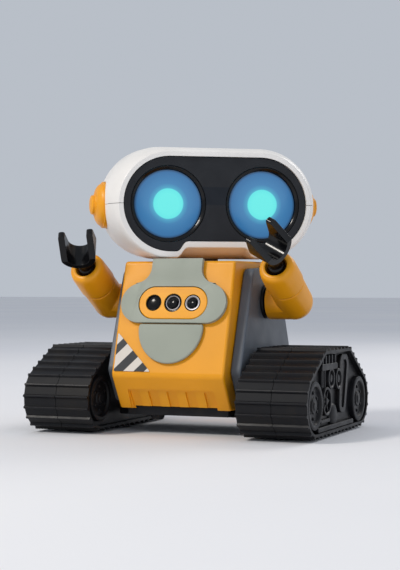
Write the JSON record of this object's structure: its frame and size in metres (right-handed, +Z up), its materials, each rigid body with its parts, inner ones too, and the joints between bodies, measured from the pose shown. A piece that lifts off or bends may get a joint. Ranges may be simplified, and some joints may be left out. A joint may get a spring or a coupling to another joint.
{
  "type": "toy robot car",
  "caption": "Toy robot car on track pods, with a turning goggle head, raised arms with C-shaped claws, and geared drive wheels inside the pods.",
  "frame": {"origin": "on the ground, midway between the two track pods and midway along them", "axes": "-Y is the direction the robot faces, +Z is up, +X is the robot's left"},
  "size_m": [0.1794, 0.1294, 0.1752],
  "materials": {
    "black_plastic": "moulded, satin",
    "board": "solder mask",
    "cell_wrap": "shrink wrap",
    "chest_plastic": "moulded, satin",
    "decal_film": "printed film",
    "eye_lens": "clear tinted moulding over a lamp",
    "gear_plastic": "moulded",
    "gloss_black_plastic": "moulded, polished",
    "grey_plastic": "moulded, satin",
    "silver_ring": "plated",
    "steel": "bright",
    "tyre": "moulded rubber",
    "white_plastic": "moulded, satin gloss",
    "yellow_plastic": "moulded, satin gloss"
  },
  "bodies": {
    "body": {"base_chassis": "black_plastic", "battery_door": "yellow_plastic", "battery_door_screw": "steel", "battery_pack": "cell_wrap", "charge_socket": "black_plastic", "chest_plate": "chest_plastic", "chest_tongue": "chest_plastic", "circuit_board": "board", "drive_motor_left": "steel", "drive_motor_right": "steel", "front_shell": "yellow_plastic", "hazard_decal": "decal_film", "pod_inner_shell_left": "black_plastic", "pod_inner_shell_right": "black_plastic", "pod_outer_shell_left": "black_plastic", "pod_outer_shell_right": "black_plastic", "rear_cover": "yellow_plastic", "sensor_bezel": "yellow_plastic", "sensor_lens_left": "gloss_black_plastic", "sensor_lens_middle": "gloss_black_plastic", "sensor_lens_right": "gloss_black_plastic", "sensor_ring_left": "silver_ring", "sensor_ring_middle": "silver_ring", "shoulder_hub_left": "black_plastic", "shoulder_hub_right": "black_plastic", "side_panel_left": "grey_plastic", "side_panel_right": "grey_plastic", "speaker": "black_plastic"},
    "head": {"head_top_shell": "white_plastic", "head_bottom_shell": "white_plastic", "visor": "gloss_black_plastic", "eye_ring_left": "gloss_black_plastic", "eye_ring_right": "gloss_black_plastic", "eye_lens_left": "eye_lens", "eye_lens_right": "eye_lens", "lamp_board_left": "board", "lamp_board_right": "board", "ear_left": "yellow_plastic", "ear_right": "yellow_plastic", "neck_spindle": "grey_plastic", "neck_washer": "steel"},
    "power_switch": {"power_switch": "black_plastic"},
    "arm_left": {"upper_arm_left": "yellow_plastic", "arm_cuff_left": "yellow_plastic", "shoulder_clip_left": "steel"},
    "claw_left": {"claw_left": "gloss_black_plastic"},
    "drive_wheel_left": {"drive_hub_left": "gear_plastic", "drive_tyre_left": "tyre", "drive_axle_left": "steel"},
    "motor_pinion_left": {"motor_pinion_left": "gear_plastic"},
    "idler_left": {"idler_wheel_left": "black_plastic"},
    "arm_right": {"upper_arm_right": "yellow_plastic", "arm_cuff_right": "yellow_plastic", "shoulder_clip_right": "steel"},
    "claw_right": {"claw_right": "gloss_black_plastic"},
    "drive_wheel_right": {"drive_hub_right": "gear_plastic", "drive_tyre_right": "tyre", "drive_axle_right": "steel"},
    "motor_pinion_right": {"motor_pinion_right": "gear_plastic"},
    "idler_right": {"idler_wheel_right": "black_plastic"}
  },
  "joints": [
    {"name": "neck_turn", "type": "hinge", "parent": "body", "child": "head", "pos_m": [0, 0.0075, 0.104], "axis": [0, 0, 1], "range_deg": [-95, 25]},
    {"name": "power_slide", "type": "slide", "parent": "body", "child": "power_switch", "axis": [1, 0, 0], "range_m": [-0.003, 0]},
    {"name": "shoulder_left", "type": "hinge", "parent": "body", "child": "arm_left", "pos_m": [0.0618, -0.001, 0.0797], "axis": [1, 0, 0], "range_deg": [-4, 56]},
    {"name": "claw_turn_left", "type": "hinge", "parent": "arm_left", "child": "claw_left", "pos_m": [0.0618, -0.03374, 0.09937], "axis": [0, -0.8572, 0.515], "range_deg": [-90, 90]},
    {"name": "wheel_spin_left", "type": "hinge", "parent": "body", "child": "drive_wheel_left", "pos_m": [0.08, 0.025, 0.017], "axis": [1, 0, 0], "continuous": true},
    {"name": "pinion_spin_left", "type": "hinge", "parent": "body", "child": "motor_pinion_left", "pos_m": [0.07225, 0.01123, 0.02495], "axis": [1, 0, 0], "continuous": true},
    {"name": "idler_spin_left", "type": "hinge", "parent": "body", "child": "idler_left", "pos_m": [0.08, -0.032, 0.012], "axis": [1, 0, 0], "continuous": true},
    {"name": "shoulder_right", "type": "hinge", "parent": "body", "child": "arm_right", "pos_m": [-0.0618, -0.001, 0.0797], "axis": [1, 0, 0], "range_deg": [-4, 56]},
    {"name": "claw_turn_right", "type": "hinge", "parent": "arm_right", "child": "claw_right", "pos_m": [-0.0618, -0.03374, 0.09937], "axis": [0, -0.8572, 0.515], "range_deg": [-90, 90]},
    {"name": "wheel_spin_right", "type": "hinge", "parent": "body", "child": "drive_wheel_right", "pos_m": [-0.08, 0.025, 0.017], "axis": [1, 0, 0], "continuous": true},
    {"name": "pinion_spin_right", "type": "hinge", "parent": "body", "child": "motor_pinion_right", "pos_m": [-0.07225, 0.01123, 0.02495], "axis": [1, 0, 0], "continuous": true},
    {"name": "idler_spin_right", "type": "hinge", "parent": "body", "child": "idler_right", "pos_m": [-0.08, -0.032, 0.012], "axis": [1, 0, 0], "continuous": true}
  ],
  "couplings": [
    {"joint": "pinion_spin_left", "follows": "wheel_spin_left", "ratio": -3},
    {"joint": "pinion_spin_right", "follows": "wheel_spin_right", "ratio": -3}
  ]
}
